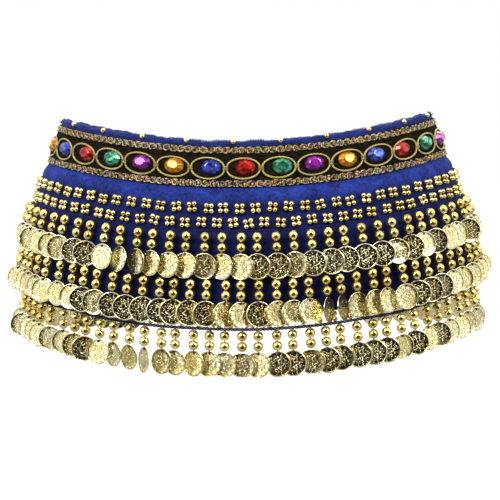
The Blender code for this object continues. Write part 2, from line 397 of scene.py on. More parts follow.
def thread_mesh(paths, radius, closed=False, roundness=1):
    """Round thread along each path, with closed ends and a UV map that runs along it."""
    data = bpy.data.curves.new("thread", "CURVE")
    data.dimensions = "3D"
    data.bevel_depth = radius
    data.bevel_resolution = roundness
    data.use_fill_caps = True
    for path in paths:
        spline = data.splines.new("POLY")
        spline.points.add(len(path) - 1)
        for point, where in zip(spline.points, path):
            point.co = (*where, 1)
        spline.use_cyclic_u = closed
    holder = add_object("thread", data)
    graph = bpy.context.evaluated_depsgraph_get()
    mesh = bpy.data.meshes.new_from_object(holder.evaluated_get(graph))
    bpy.data.objects.remove(holder)
    bpy.data.curves.remove(data)
    return mesh


def copies(template, poses, bm=None):
    """A bmesh with a copy of the template mesh at each pose."""
    if bm is None:
        bm = bmesh.new()
    for pose in poses:
        first = len(bm.verts)
        bm.from_mesh(template)
        bm.verts.ensure_lookup_table()
        bmesh.ops.transform(bm, matrix=pose, verts=bm.verts[first:])
    return bm


# %% Templates


def template_of(bm):
    mesh = bpy.data.meshes.new("template")
    bm.to_mesh(mesh)
    bm.free()
    return mesh


def bead_template(size, rings, sides):
    """A round bead whose thread runs along its z axis."""
    bm = bmesh.new()
    bmesh.ops.create_uvsphere(bm, u_segments=sides, v_segments=rings, radius=size / 2)
    return template_of(bm)


def disc_template(sides, foot, top, depth):
    """A small disc or cup, by its radius at foot and top."""
    bm = bmesh.new()
    bmesh.ops.create_cone(bm, cap_ends=True, segments=sides, radius1=foot, radius2=top, depth=depth)
    return template_of(bm)


def write_uv(bm, uv_of):
    """Gives each face corner the UV that belongs to its place."""
    layer = bm.loops.layers.uv.new("UVMap")
    for face in bm.faces:
        for loop in face.loops:
            loop[layer].uv = uv_of(loop.vert.co)


# %% [markdown]
# ## Shared effects
# Wear on metal, the twist of a thread and the nap of cloth are used by several finishes, so each is a
# node group. They only put out masks and heights, and every material decides what to do with them.

# %% Node groups


def new_group(name, inputs, outputs):
    group = bpy.data.node_groups.new(name, "ShaderNodeTree")
    for label, value in inputs:
        socket = group.interface.new_socket(label, in_out="INPUT", socket_type="NodeSocketFloat")
        socket.default_value = value
    for label in outputs:
        group.interface.new_socket(label, in_out="OUTPUT", socket_type="NodeSocketFloat")
    return group, group.nodes.new("NodeGroupInput").outputs, group.nodes.new("NodeGroupOutput").inputs


def noise(tree, scale, detail=3.0, where=None):
    """Noise by the object's coordinates, or by the given ones."""
    where = coordinate(tree) if where is None else where
    return add_node(tree, "ShaderNodeTexNoise", Vector=where, Scale=scale, Detail=detail).outputs["Fac"]


wear_group, given, result = new_group("wear", [("Scale", 900.0)], ["Mask", "Height"])
fill(result["Mask"], noise(wear_group, 45.0, 2.0))
fill(result["Height"], noise(wear_group, given["Scale"]))

nap_group, given, result = new_group("nap", [("Patches", 30.0), ("Pile", 2600.0)], ["Mask", "Height"])
fill(result["Mask"], noise(nap_group, given["Patches"], 4.0))
fill(result["Height"], noise(nap_group, given["Pile"], 1.0))

twist_group, given, result = new_group("twist", [("Turns", 40.0), ("Strands", 2.0)], ["Height"])
thread_uv = axes_of(twist_group, coordinate(twist_group, "UV"))
along_thread = times(twist_group, thread_uv["X"], given["Turns"])
round_thread = times(twist_group, thread_uv["Y"], given["Strands"])
phase = times(twist_group, plus(twist_group, along_thread, round_thread), 2 * math.pi)
fill(result["Height"], maths(twist_group, "SINE", phase))
print("groups:", ", ".join(group.name for group in (wear_group, nap_group, twist_group)))

# %% [markdown]
# ## Finishes
# Velvet is dark where we look into its pile and pale where we look along it, so it has sheen. The coins
# are pale thin gilding over stamped iron, a little brown in the hollows from patina and painted shade. The
# beads are a warmer, smoother gold.

# %% Cloth finishes


def use_group(tree, group, **inputs):
    return add_node(tree, "ShaderNodeGroup", {"node_tree": group}, **inputs).outputs


def bump(tree, surface, height, distance, strength=1.0):
    made = add_node(tree, "ShaderNodeBump", Height=height, Distance=distance, Strength=strength)
    fill_all(surface, Normal=made.outputs["Normal"])


def cloth(name, dark, pale, patches, pile=2600.0, sheen=0.0, tint=(1, 1, 1), roughness=0.85, shine=0.2):
    made, tree, surface = plain_material(name)
    nap = use_group(tree, nap_group, Patches=patches, Pile=pile)
    mask = ramp(tree, nap["Mask"], [(0.35, 0.0), (0.65, 1.0)])
    fill_all(surface, Base_Color=mix_colours(tree, mask, dark, pale), Roughness=roughness)
    fill_all(surface, Specular_IOR_Level=shine, Sheen_Weight=sheen, Sheen_Roughness=0.35, Sheen_Tint=tint)
    bump(tree, surface, nap["Height"], 0.0004, 0.6)
    return made


VELVET = cloth(
    "royal blue velvet", (0.006, 0.010, 0.13), (0.022, 0.042, 0.40), 70.0, 2600.0, 0.35, (0.15, 0.25, 1.0)
)
BACKING = cloth(
    "velvet backing", (0.008, 0.014, 0.13), (0.012, 0.022, 0.18), 60.0, 1500.0, 0.1, (0.3, 0.4, 0.9), 0.95
)
BLACK_GROUND = cloth("black woven ground", (0.002, 0.002, 0.001), (0.016, 0.011, 0.006), 400.0, shine=0.04)
print("three plain cloths")

# %% [markdown]
# The panel's own velvet also knows its level, and its brightness by level is painted light and shade. The
# plain band under the braid lies smooth and is painted bright, as its pile would catch the light. Below it
# the sewing presses the pile down, and the cloth between the beads is painted dark as shade.

# %% Panel velvet
# Painted light and shade by level: bright under the braid, dark between the beads.
LIT_BY_LEVEL = [(0.0, 0.6), (0.24, 0.95), (0.33, 0.85), (0.37, 0.36), (0.55, 0.27), (1.0, 0.2)]

PANEL_VELVET, tree, surface = plain_material("panel velvet")
level = axes_of(tree, coordinate(tree, "UV"))["Y"]
nap = use_group(tree, nap_group, Patches=75.0, Pile=2600.0)
# Painted sheen: bright patches from the crushed nap and the small tufts.
sheen_tufts = ramp(tree, noise(tree, 420.0, 2.0), [(0.36, 0.0), (0.66, 1.0)])
crushed = ramp(tree, nap["Mask"], [(0.36, 0.0), (0.5, 0.45), (0.62, 1.0)])
sheen_and_shade = plus(tree, times(tree, crushed, 0.5), 0.16)
sheen_and_shade = plus(tree, sheen_and_shade, times(tree, sheen_tufts, 0.42))
sheen_and_shade = times(tree, sheen_and_shade, ramp(tree, level, LIT_BY_LEVEL))
blue = mix_colours(tree, sheen_and_shade, (0.0016, 0.0024, 0.029), (0.021, 0.047, 0.345))
fill_all(surface, Base_Color=blue, Roughness=0.8, Specular_IOR_Level=0.15)
fill_all(surface, Sheen_Weight=0.2, Sheen_Roughness=0.3, Sheen_Tint=(0.12, 0.2, 1.0))
height = plus(tree, nap["Height"], times(tree, crushed, 1.5))
bump(tree, surface, height, 0.0006, 0.7)
print("velvet lit in", len(LIT_BY_LEVEL), "levels")

# %% Thread finishes


def thread_finish(name, colour, deep, roughness, metallic, turns, strands=2.0):
    made, tree, surface = plain_material(name)
    height = use_group(tree, twist_group, Turns=turns, Strands=strands)["Height"]
    # Painted shade: the deep colour lies in the grooves of the twist, the pale one on the strands.
    mask = ramp(tree, height, [(0.1, 0.0), (0.6, 1.0)])
    mixed = mix_colours(tree, mask, deep, colour)
    fill_all(surface, Base_Color=mixed, Roughness=roughness, Metallic=metallic)
    bump(tree, surface, height, 0.0003, 0.7)
    return made


BLUE_YARN = thread_finish("blue crochet yarn", (0.025, 0.052, 0.37), (0.006, 0.012, 0.11), 0.8, 0.0, 900.0)
DARK_YARN = thread_finish("navy cord yarn", (0.014, 0.022, 0.15), (0.003, 0.004, 0.035), 0.8, 0.0, 700.0)
GOLD_CORD = thread_finish("gold satin cord", (0.95, 0.80, 0.28), (0.25, 0.19, 0.05), 0.32, 0.5, 30.0, 3.0)

GOLD_THREAD, tree, surface = plain_material("gold ring thread")
# Painted glints: pale gold specks on a thread painted near black between them as shade.
glitter = noise(tree, 620.0, 1.0)
sparkle = ramp(tree, glitter, [(0.42, 0.0), (0.54, 1.0)])
painted_glints = mix_colours(tree, sparkle, (0.03, 0.018, 0.008), (0.92, 0.76, 0.36))
fill_all(surface, Base_Color=painted_glints, Roughness=0.3, Metallic=0.4)
bump(tree, surface, glitter, 0.0004, 0.8)
print("four threads")

# %% Metal finishes


def metal(name, pale, deep, roughness):
    made, tree, surface = plain_material(name)
    wear = use_group(tree, wear_group)
    mask = ramp(tree, wear["Mask"], [(0.35, 0.0), (0.6, 1.0)])
    fill_all(surface, Base_Color=mix_colours(tree, mask, deep, pale), Metallic=0.93, Roughness=roughness)
    bump(tree, surface, wear["Height"], 0.00004, 0.5)
    return made


BEAD_GOLD = metal("shiny gold bead", (0.92, 0.75, 0.28), (0.62, 0.46, 0.11), 0.07)
SMALL_GOLD = metal("pale small bead", (0.90, 0.76, 0.34), (0.58, 0.43, 0.13), 0.09)

# A dark disc stands in each hole as painted shade, with a little grain.
HOLE_SHADE_STOPS = [(0.3, (0.005, 0.003, 0.002)), (0.7, (0.02, 0.013, 0.008))]
HOLE_SHADE, tree, surface = plain_material("painted hole shade")
grain = ramp(tree, noise(tree, 1500.0), HOLE_SHADE_STOPS)
fill_all(surface, Base_Color=grain, Roughness=0.8)
print("two golds and a dark")

# %% [markdown]
# ## Coin finish
# A costume coin is stamped from thin sheet. Its ornament, made up for this model, is drawn by angle and
# radius on the coin's UV map: a line inside the rim, a ring of dots, one wavy outline of a flower, and
# irregular scrolls. A coin that mirrors the dark place behind the camera shows pale lines on a dark
# field, and a turned one shows dark lines on pale gold. A dark band of patina and painted shade runs along
# one side of each line.

# %% Lines
LINE_STOPS = [(0.005, 1.0), (0.02, 0.0)]
SHADE_STOPS = [(0.008, 0.0), (0.015, 1.0), (0.028, 1.0), (0.04, 0.0)]


def line_at(tree, distance):
    """1 where the distance is near 0, and 0 beside it."""
    return ramp(tree, maths(tree, "ABSOLUTE", distance), LINE_STOPS)


def shade_at(tree, distance):
    """1 along one side of a line: patina left in the corner, and painted shade on that side of the relief.
    """
    return ramp(tree, distance, SHADE_STOPS)


def from_middle(tree, uv):
    """Radius and angle about the middle of a UV map."""
    centred = add_node(tree, "ShaderNodeVectorMath", {"operation": "SUBTRACT"}, _0=uv, _1=(0.5, 0.5, 0))
    centred = centred.outputs[0]
    radius = add_node(tree, "ShaderNodeVectorMath", {"operation": "LENGTH"}, _0=centred).outputs["Value"]
    axes = axes_of(tree, centred)
    return radius, maths(tree, "ARCTAN2", axes["Y"], axes["X"])


def highest(tree, *heights):
    top = heights[0]
    for height in heights[1:]:
        top = maths(tree, "MAXIMUM", top, height)
    return top


# %% Coin pattern
RIM_LINE = 0.47
RIM_DOTS = 13
DOT_CIRCLE = 0.405
PETALS = 6
FLOWER_RADIUS = 0.19
FLOWER_SWING = 0.045
SCROLL_FIELD = [(0.34, 1.0), (0.37, 0.0)]

coin_group, given, result = new_group("coin pattern", [], ["Height", "Shade"])
tree = coin_group
uv = coordinate(tree, "UV")
radius, angle = from_middle(tree, uv)
share = maths(tree, "FRACT", times(tree, angle, RIM_DOTS / (2 * math.pi)))
aside = times(tree, maths(tree, "SUBTRACT", share, 0.5), 2 * math.pi * DOT_CIRCLE / RIM_DOTS)
inward = maths(tree, "SUBTRACT", radius, DOT_CIRCLE)
squared = [maths(tree, "POWER", side, 2.0) for side in (aside, inward)]
from_dot = maths(tree, "SQRT", plus(tree, *squared))
from_rim = maths(tree, "SUBTRACT", RIM_LINE, radius)
wave = maths(tree, "COSINE", times(tree, angle, float(PETALS)))
petals = plus(tree, times(tree, wave, FLOWER_SWING), FLOWER_RADIUS)
from_flower = maths(tree, "SUBTRACT", radius, petals)
from_scroll = maths(tree, "SUBTRACT", noise(tree, 8.0, 1.0, uv), 0.5)
field = ramp(tree, radius, SCROLL_FIELD)
for draw, label in ((line_at, "Height"), (shade_at, "Shade")):
    scrolls = times(tree, draw(tree, from_scroll), field)
    drawn = highest(tree, draw(tree, from_dot), draw(tree, from_rim), draw(tree, from_flower), scrolls)
    fill(result[label], drawn)
print("coin pattern with", RIM_DOTS, "dots and", PETALS, "petals")

# %% Coin finish
COIN_GOLD, tree, surface = plain_material("stamped gold coin")
pattern = use_group(tree, coin_group)
wear = use_group(tree, wear_group, Scale=700.0)
dents = noise(tree, 230.0, 2.0)
relief = times(tree, wear["Height"], 0.05)
for height, share in ((pattern["Height"], 0.14), (dents, 0.27)):
    relief = plus(tree, relief, times(tree, height, share))
tone = ramp(tree, wear["Mask"], [(0.38, 0.0), (0.62, 1.0)])
gilding = mix_colours(tree, tone, (0.92, 0.79, 0.37), (1.0, 0.95, 0.62))
# Patina and painted shade along one side of each stamped line darken the gilding.
patina_and_shade = times(tree, pattern["Shade"], 0.75)
stamped = mix_colours(tree, patina_and_shade, gilding, (0.09, 0.06, 0.012))
fill_all(surface, Base_Color=stamped, Metallic=1.0, Roughness=0.14)
bump(tree, surface, relief, 0.001)
print("coin finish made")

# %% [markdown]
# ## The velvet panel
# The panel is one thin sheet. Each drop and each bead square is sewn through it, so the cloth is drawn in
# a little there and swells between. Lower down the loose cloth falls in soft upright folds. All of these
# are small moves of the sheet, placed before it gets its thickness.

# %% Velvet panel
SQUARE_ROWS = ((51.5 * MM, 62), (62.8 * MM, 63))
UPPER_ROW = 67.9 * MM
MIDDLE_ROW = 104.2 * MM
EDGE_INSIDE = 0.5 * MM
PANEL_SIZE = (320, 54)
DIMPLE, DIMPLE_EVERY = 0.35 * MM, 12.6 * MM
GATHER, GATHER_EVERY = 0.25 * MM, 13 * MM
FOLD, FOLD_EVERY, FOLDS_FROM = 0.7 * MM, 29 * MM, 70 * MM
DRAG, DRAG_LEVEL = 0.18 * MM, 42 * MM
WALL = 1.5 * MM


def near_level(drop, level, reach):
    return math.exp(-(((drop - level) / reach) ** 2))


def cloth_relief(distance, drop):
    """How far the velvet stands out from, or sinks below, its plain surface."""
    sewn = sum(near_level(drop, level, 3.2 * MM) for level, count in SQUARE_ROWS)
    dimples = -DIMPLE * sewn * (1 + 0.6 * math.cos(cycles(distance, DIMPLE_EVERY)))
    rows = near_level(drop, UPPER_ROW, 4 * MM) + near_level(drop, MIDDLE_ROW, 4 * MM)
    gathers = -GATHER * rows * (1 + 0.8 * math.cos(cycles(distance, GATHER_EVERY)))
    loose = max(0.0, (drop - FOLDS_FROM) / (HEM - FOLDS_FROM))
    folds = -FOLD * loose * (0.5 + 0.5 * math.sin(cycles(distance, FOLD_EVERY) + 9 * drop))
    drag = DRAG * math.sin(distance / (17 * MM) + drop / (6 * MM)) * near_level(drop, DRAG_LEVEL, 6 * MM)
    return dimples + gathers + folds + drag


def sheet(columns, rows, point_at):
    """A grid with points at point_at(x from -1 to 1, y from 0 at the top to 1), front faces outwards."""
    bm = bmesh.new()
    bmesh.ops.create_grid(bm, x_segments=columns, y_segments=rows, size=1)
    write_uv(bm, lambda co: ((1 + co.x) / 2, (1 - co.y) / 2))
    for vert in bm.verts:
        vert.co = point_at(vert.co.x, (1 - vert.co.y) / 2)
    return bm


def give_thickness(piece, thickness, lining=0):
    """Grows the sheet inwards. With a lining, its inner side takes the next material."""
    shell = piece.modifiers.new("thickness", "SOLIDIFY")
    shell.thickness = thickness
    shell.offset = -1
    shell.use_even_offset = True
    shell.material_offset = lining


def panel_point(x, y):
    drop = EDGE_INSIDE + (HEM - EDGE_INSIDE) * y
    distance = x * panel_reach(drop)
    return at(distance, drop, cloth_relief(distance, drop))


bm = sheet(*PANEL_SIZE, panel_point)
panel = make_piece("velvet_cloth", bm, [PANEL_VELVET, BACKING], ["velvet_panel"])
give_thickness(panel, WALL, 1)

# %% [markdown]
# ## The crocheted edge
# The raw top edge is bound with blue yarn that passes over it again and again, in a small round roll. A
# path that winds along the edge gives just that, with small gold beads threaded on it.

# %% Crocheted edge
EDGE_MIDDLE = 0.55 * MM
ROLL = 0.95 * MM
YARN_TURN = 2.1 * MM
YARN_POINTS = 8
SECOND_STEP = 1.6 * MM

count = int(2 * panel_reach(0.0) / YARN_TURN)
winding = []
for step in range(count * YARN_POINTS):
    distance = -panel_reach(0.0) + step / YARN_POINTS * YARN_TURN
    swing = 2 * math.pi * step / YARN_POINTS
    bulge = 1 + 0.3 * math.sin(cycles(distance, 9 * MM)) + 0.2 * math.sin(distance / (5.3 * MM))
    high = math.cos(swing) * ROLL * bulge + 0.45 * MM * math.sin(distance / (4.1 * MM))
    winding.append(at(distance, EDGE_MIDDLE - high, -0.8 * MM + math.sin(swing) * ROLL))
second = [
    at(distance, EDGE_MIDDLE + 1.1 * MM + 0.35 * MM * (step % 2), 0.15 * MM)
    for step, distance in enumerate(along_ring(0.0, SECOND_STEP))
]
bm = bmesh.new()
for mesh in (thread_mesh([winding], 0.6 * MM), thread_mesh([second], 0.35 * MM)):
    bm.from_mesh(mesh)
make_piece("crochet_edge_yarn", bm, [BLUE_YARN], ["crochet_edge"])

# %% Edge beads
EDGE_BEAD = 4.3 * MM
EDGE_BEADS_FROM = -11 * MM
EDGE_BEADS_APART = 37.6 * MM

edge_spots = [EDGE_BEADS_FROM + number * EDGE_BEADS_APART for number in range(-9, 11)]
edge_beads = [
    pose_at(spot, 0.4 * MM, 0.9 * MM) @ Matrix.Rotation(math.pi / 2, 4, "Y")
    for spot in edge_spots
    if abs(spot) < panel_reach(0.0) - EDGE_BEAD
]
make_piece("crochet_edge_beads", copies(bead_template(EDGE_BEAD, 8, 14), edge_beads), [SMALL_GOLD])

# %% [markdown]
# ## The braid
# The braid is bought by the metre. Its ground is a black woven band. Gold thread rings with sequins run
# along both edges, and a thick gold cord is laid in ovals down the middle, tied where two ovals meet.

# %% Braid ground
BRAID_TOP = 3.9 * MM
BRAID_OUT = 1.0 * MM
RING_PITCH = 6.1 * MM


def braid_point(x, y):
    drop = BRAID_TOP + (BRAID_FOOT - BRAID_TOP) * y
    distance = x * panel_reach(drop)
    edge = 0.25 * MM * math.cos(cycles(distance, RING_PITCH)) * (2 * y - 1) ** 7
    return at(distance, drop + edge, BRAID_OUT)


ground = make_piece("braid_ground", sheet(380, 12, braid_point), [BLACK_GROUND], ["jewel_braid"])
give_thickness(ground, BRAID_OUT - 0.1 * MM)

# %% Rings
RING_LEVELS = (6.9 * MM, 32.9 * MM)
WEAVE_STEP = 1.5 * MM
LOOSE_TURN = 0.25


def ring_template(across, high, thread, sides=12):
    """A thread ring that lies on the cloth."""
    angles = [2 * math.pi * step / sides for step in range(sides)]
    path = [Vector((across / 2 * math.cos(angle), high / 2 * math.sin(angle), 0)) for angle in angles]
    return thread_mesh([path], thread, closed=True, roundness=0)


ring_poses, sequin_poses = [], []
chance = random.Random(4)
for level in RING_LEVELS:
    reach = panel_reach(level) - RING_PITCH / 2
    for number in range(int(2 * reach / RING_PITCH) + 1):
        distance = -reach + number * RING_PITCH
        drop = level + chance.uniform(-0.25, 0.25) * MM
        ring_poses.append(pose_at(distance, drop, BRAID_OUT + 0.5 * MM, chance.uniform(-0.3, 0.3)))
        tip = Matrix.Rotation(chance.uniform(-LOOSE_TURN, LOOSE_TURN), 4, "X")
        tip = tip @ Matrix.Rotation(chance.uniform(-LOOSE_TURN, LOOSE_TURN), 4, "Y")
        sequin_poses.append(pose_at(distance, drop, BRAID_OUT + 0.55 * MM) @ tip)
bm = copies(ring_template(5.2 * MM, 4.7 * MM, 0.25 * MM), ring_poses)
for level in RING_LEVELS:
    for side in (-1, 1):
        weave = []
        for step, distance in enumerate(along_ring(level, WEAVE_STEP)):
            swing = cycles(step * WEAVE_STEP, RING_PITCH)
            drop = level + side * (1.4 + 1.1 * math.sin(swing)) * MM
            weave.append(at(distance, drop, BRAID_OUT + (0.75 + 0.4 * math.cos(2 * swing)) * MM))
        bm.from_mesh(thread_mesh([weave], 0.19 * MM, roundness=0))
make_piece("braid_rings", bm, [GOLD_THREAD])

# %% Sequins
SEQUIN_HUES = [
    (0.32, (0.24, 0.02, 0.14)),
    (0.42, (0.24, 0.15, 0.02)),
    (0.5, (0.26, 0.03, 0.04)),
    (0.58, (0.02, 0.16, 0.07)),
    (0.66, (0.10, 0.04, 0.24)),
]

SEQUIN, tree, surface = plain_material("shimmering sequin")
hues = ramp(tree, noise(tree, 210.0, 1.0), SEQUIN_HUES)
fill_all(surface, Base_Color=hues, Metallic=0.6, Roughness=0.3)
cup = disc_template(8, 1.6 * MM, 0.7 * MM, 0.5 * MM)
make_piece("braid_sequins", copies(cup, sequin_poses), [SEQUIN], smooth=False)

# %% Gold cord ovals
STONE_LEVEL = 20.3 * MM
STONE_PITCH = 28.1 * MM
STONE_SHIFT = -3.4 * MM
STONES_EACH_SIDE = 13
STONE_NUMBERS = range(-STONES_EACH_SIDE, STONES_EACH_SIDE + 1)
OVAL_LEVEL = 21.1 * MM
OVAL_HALF_LENGTH = 13.4 * MM
OVAL_HALF_HEIGHT = 7.9 * MM
CORD_RADIUS = 0.72 * MM
OVAL_POINTS = 40


def stone_spot(number):
    return STONE_SHIFT + number * STONE_PITCH


def oval_path(distance, chance):
    """A closed path round one stone, a little uneven, as the cord was laid by hand."""
    length = OVAL_HALF_LENGTH * chance.uniform(0.97, 1.02)
    height = OVAL_HALF_HEIGHT * chance.uniform(0.95, 1.03)
    path = []
    for step in range(OVAL_POINTS):
        angle = 2 * math.pi * step / OVAL_POINTS
        x = length * math.cos(angle)
        y = height * math.copysign(abs(math.sin(angle)) ** 0.88, math.sin(angle))
        lift = 0.2 * MM + 0.105 * MM * math.sin(angle * 2 + distance * 300)
        path.append(at(distance + x, OVAL_LEVEL - y, BRAID_OUT + CORD_RADIUS + lift))
    return path


chance = random.Random(8)
reach = panel_reach(STONE_LEVEL)
spots = [stone_spot(number) for number in STONE_NUMBERS]
ovals = [oval_path(spot, chance) for spot in spots if abs(spot) < reach - OVAL_HALF_LENGTH]
ties = []
for number in (*STONE_NUMBERS, STONES_EACH_SIDE + 1):
    distance = stone_spot(number - 0.5)
    if abs(distance) < reach - 4 * MM:
        for offset in (-1.1 * MM, 0.0, 1.1 * MM):
            turn = chance.uniform(-0.2, 0.2)
            pose = pose_at(distance, OVAL_LEVEL + offset, BRAID_OUT + 1.1 * MM, turn)
            ties.append(pose @ Matrix.Rotation(math.pi / 2, 4, "X"))
bm = bmesh.new()
bm.from_mesh(thread_mesh(ovals, CORD_RADIUS, closed=True))
copies(ring_template(3.6 * MM, 2.0 * MM, 0.55 * MM, 10), ties, bm)
make_piece("braid_ovals", bm, [GOLD_CORD])

# %% [markdown]
# ## The stones
# Each stone is clear acrylic cut in facets, with foil at its back, and it is sewn on through a hole at
# each end. The foil throws the light back, coloured by the stone, so some facets flash pale and others
# stay deep; here that flash is painted reflection in the stone's colour. A cone cut flat at the top has
# the right outline, and bevelled edges add the small facets round its table.

# %% Stones
STONE_HALF_LENGTH = 8.2 * MM
STONE_HALF_HEIGHT = 6.2 * MM
STONE_RISE = 4 * MM
STONE_TABLE = 0.58
# Each pair is the stone's deep colour and the pale colour painted on its facets as reflected light.
STONE_COLOURS = {
    "red": ((0.13, 0.0, 0.002), (0.95, 0.045, 0.03)),
    "green": ((0.0, 0.045, 0.03), (0.18, 0.80, 0.45)),
    "purple": ((0.06, 0.002, 0.09), (0.55, 0.04, 0.62)),
    "amber": ((0.40, 0.11, 0.0), (1.0, 0.58, 0.01)),
    "blue": ((0.003, 0.006, 0.10), (0.10, 0.16, 0.92)),
}


def stone_finish(name, deep, pale):
    """Painted reflection: each fan of facets round the table is painted pale as if lit, or stays deep, and
    painted glints stand for the foil.
    """
    made, tree, surface = plain_material(name + " stone")
    radius, angle = from_middle(tree, coordinate(tree, "UV"))
    fans = maths(tree, "SIGN", maths(tree, "SINE", times(tree, angle, 9.0)))
    cut = add_node(tree, "ShaderNodeTexVoronoi", Vector=coordinate(tree), Scale=330.0, Randomness=0.9)
    facets = add_node(tree, "ShaderNodeSeparateColor", Color=cut.outputs["Color"]).outputs["Red"]
    painted_light_by_radius = ramp(tree, radius, [(0.0, 0.75), (0.24, 0.8), (0.3, 0.5), (0.42, 0.75), (0.5, 0.3)])
    flash = plus(tree, times(tree, fans, 0.10), facets)
    mask = times(tree, ramp(tree, flash, [(0.1, 0.06), (0.45, 0.4), (0.95, 1.0)]), painted_light_by_radius)
    fill_all(surface, Base_Color=mix_colours(tree, mask, deep, pale), Metallic=0.35, Roughness=0.12)
    fill_all(surface, Coat_Weight=0.18, Coat_Roughness=0.03)
    return made


def stone_template():
    bm = bmesh.new()
    bmesh.ops.create_cone(bm, cap_ends=True, segments=12, radius1=1, radius2=STONE_TABLE, depth=1)
    rim = [edge for edge in bm.edges if all(vert.co.z > 0 for vert in edge.verts)]
    bmesh.ops.bevel(bm, geom=rim, offset=0.13, segments=2, profile=0.5, affect="EDGES", material=-1)
    write_uv(bm, lambda co: (co.x / 2 + 0.5, co.y / 2 + 0.5))
    bmesh.ops.scale(bm, verts=bm.verts, vec=(STONE_HALF_LENGTH, STONE_HALF_HEIGHT, STONE_RISE))
    bmesh.ops.translate(bm, verts=bm.verts, vec=(0, 0, STONE_RISE / 2))
    return template_of(bm)


stone_shape = stone_template()
print("stone", len(stone_shape.polygons), "faces")

# %% Setting the stones
STONE_NUDGES = (3.2, 3.4, 1.8, 1.0, 0.8, 2.4, 1.5, 2.8, 0.7, 0.5, -1.5, -3.2, -1.2)
STITCH = ((6.0, 1.4), (6.3, 2.3), (7.4, 1.5), (8.2, 0.1))

stone_poses = {colour: [] for colour in STONE_COLOURS}
hole_shade_poses, stitch_paths = [], []
for number in STONE_NUMBERS:
    colour = list(STONE_COLOURS)[number % len(STONE_COLOURS)]
    middle = number + len(STONE_NUDGES) // 2
    nudge = STONE_NUDGES[middle] if 0 <= middle < len(STONE_NUDGES) else 0
    pose = pose_at(stone_spot(number) + nudge * MM, STONE_LEVEL, BRAID_OUT + 0.1 * MM)
    name = f"stone_{number + STONES_EACH_SIDE + 1:02d}_{colour}"
    stone_poses[colour].append((name, pose))
    for side in (-1, 1):
        hole_shade_poses.append(pose @ Matrix.Translation((side * 6.0 * MM, 0, 1.75 * MM)))
        stitch_paths.append([pose @ Vector((side * x * MM, 0, z * MM)) for x, z in STITCH])
for colour, found in stone_poses.items():
    finish = stone_finish(colour, *STONE_COLOURS[colour])
    nodes, poses = zip(*found)
    bm = copies(stone_shape, poses)
    make_piece("stones_" + colour, bm, [finish], nodes, smooth=False)
# Painted shade: a dark disc in each sewing hole of a stone.
bm = copies(disc_template(10, 0.65 * MM, 0.65 * MM, 1.1 * MM), hole_shade_poses)
make_piece("stone_holes", bm, [HOLE_SHADE], smooth=False)
make_piece("stone_stitches", thread_mesh(stitch_paths, 0.22 * MM, roundness=0), [DARK_YARN])

# %% [markdown]
# ## Bead squares
# Squares of four small beads are embroidered in two rows on the velvet, and one more row bridges the open
# gap between the hem and the cord. Hand sewing leaves each square a little turned.

# %% Bead squares
SMALL_BEAD = 4.3 * MM
CHAIN_HEIGHT = 1.6 * MM
CORD_HEIGHT = 2.2 * MM


small_bead = bead_template(SMALL_BEAD, 6, 10)


def square_of_beads(distance, drop, out, chance):
    spin = chance.uniform(-0.22, 0.22)
    middle = pose_at(distance, drop, out, spin)
    step = SMALL_BEAD * 0.48
    poses = []
    for x in (-1, 1):
        for y in (-1, 1):
            spot = Vector((x * step * chance.uniform(0.97, 1.12), y * step * chance.uniform(0.97, 1.12), 0))
            tip = Matrix.Rotation(chance.uniform(-0.4, 0.4), 4, "X")
            poses.append(middle @ Matrix.Translation(spot) @ tip)
    return poses


chance = random.Random(17)
square_poses = []
for level, number_of in SQUARE_ROWS:
    reach = panel_reach(level) - 6 * MM
    for number in range(number_of):
        distance = -reach + number * 2 * reach / (number_of - 1) + chance.uniform(-0.8, 0.8) * MM
        drop = level + chance.uniform(-0.6, 0.6) * MM
        square_poses += square_of_beads(distance, drop, SMALL_BEAD * 0.42, chance)
make_piece("bead_squares", copies(small_bead, square_poses), [SMALL_GOLD])

# %% [markdown]
# ## How each drop hangs
# The solids place every coin by a seeded rule: it swings, leans and turns until it is clear of its
# neighbours. The same rule and seeds give the same places here.

# %% Drop places
BEAD = 8 * MM
COIN = 20.5 * MM
BEAD_STAND = 4.6 * MM
COIN_GAP = 1.7 * MM
COIN_REACH_IN = 3.6 * MM
LEAST_LEAN = 1.2 * MM
LOOSE_LEAN = 3.4 * MM
MOST_LEAN = 5.4 * MM
WIDE_TURNS = 0.1
SWING = 0.035
UNEVEN = 1.1 * MM
ROWS = (
    ("drops_upper", UPPER_ROW, 58, 3065),
    ("drops_middle", MIDDLE_ROW, 62, 951),
    ("drops_hem", CORD_LEVEL, 62, 5167),
)


def near(a, b):
    steps = [i / 12 for i in range(13)]
    return min((a[0].lerp(a[1], s) - b[0].lerp(b[1], t)).length for s in steps for t in steps)


def coin_line(along, out, yaw):
    half = Vector((math.cos(yaw), math.sin(yaw))) * COIN / 2
    middle = Vector((along, out))
    return middle - half, middle + half


def coin_turns(spots, chance):
    length = 2 * BEAD + COIN / 2
    hung, lines = [], []
    for spot in spots:
        for attempt in range(400):
            widest = 60 if chance.random() < WIDE_TURNS else 28
            yaw = math.radians(chance.uniform(-widest, widest))
            swing = chance.uniform(-SWING, SWING)
            least = max(LEAST_LEAN, COIN / 2 * abs(math.sin(yaw)) - COIN_REACH_IN)
            lean = chance.uniform(least, max(least, LOOSE_LEAN))
            line = coin_line(spot + swing * length, lean, yaw)
            if lean <= MOST_LEAN and all(near(line, other) > COIN_GAP for other in lines[-2:]):
                break
        lines.append(line)
        hung.append((swing, lean / length, yaw))
    return hung


def drop_spots(level, count, chance):
    reach = panel_reach(level) - COIN / 2
    pitch = 2 * reach / (count - 1)
    return [-reach + i * pitch + chance.uniform(-UNEVEN, UNEVEN) for i in range(count)]


